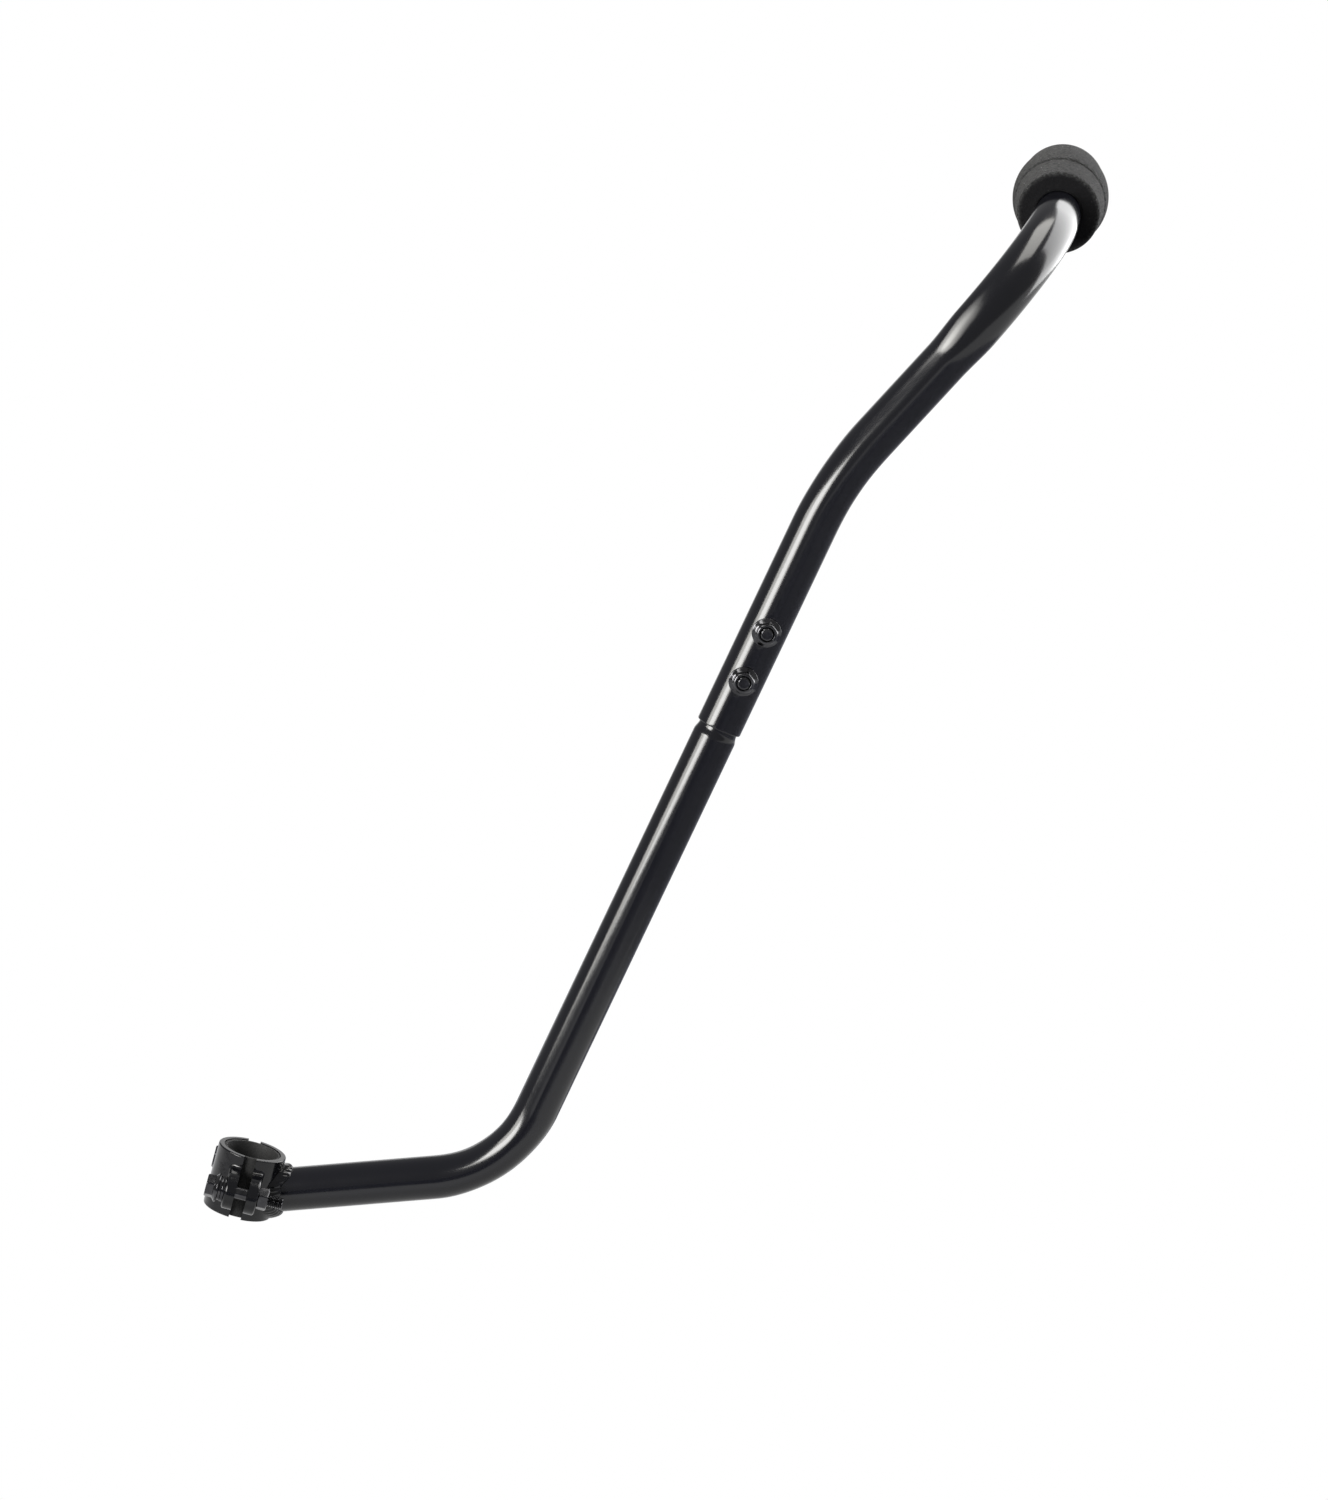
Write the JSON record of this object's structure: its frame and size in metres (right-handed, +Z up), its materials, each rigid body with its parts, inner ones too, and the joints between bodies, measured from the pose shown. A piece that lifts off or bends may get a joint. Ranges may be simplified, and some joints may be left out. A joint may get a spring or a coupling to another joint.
{
  "type": "child bike push handle",
  "caption": "Bent steel push handle for a child's bike: a split clamp grips the seat post, two bolted tubes rise to the rear and end in a sideways foam grip.",
  "frame": {"origin": "middle of the seat post clamp's bore", "axes": "+X to the rear of the bike, +Y to the rider's right, +Z straight up when the bike stands level; the bore leans to the rear"},
  "size_m": [0.4509, 0.1924, 0.514],
  "materials": {
    "tube_enamel": "gloss black enamel on steel tube",
    "clamp_enamel": "semi-gloss black enamel on cast steel",
    "black_fasteners": "satin black plated steel",
    "liner_rubber": "matte black rubber",
    "grip_foam": "matte dark grey closed-cell foam"
  },
  "bodies": {
    "root": {"lower_tube": "tube_enamel", "upper_tube": "tube_enamel", "front_clamp_shell": "clamp_enamel", "rear_clamp_shell": "clamp_enamel", "tube_weld": "clamp_enamel", "front_clamp_liner": "liner_rubber", "rear_clamp_liner": "liner_rubber", "left_clamp_bolt": "black_fasteners", "left_lock_washer": "black_fasteners", "left_clamp_washer": "black_fasteners", "left_clamp_nut": "black_fasteners", "right_clamp_bolt": "black_fasteners", "right_lock_washer": "black_fasteners", "right_clamp_washer": "black_fasteners", "right_clamp_nut": "black_fasteners", "lower_joint_bolt": "black_fasteners", "lower_joint_nut": "black_fasteners", "upper_joint_bolt": "black_fasteners", "upper_joint_nut": "black_fasteners", "foam_grip": "grip_foam"}
  },
  "joints": []
}
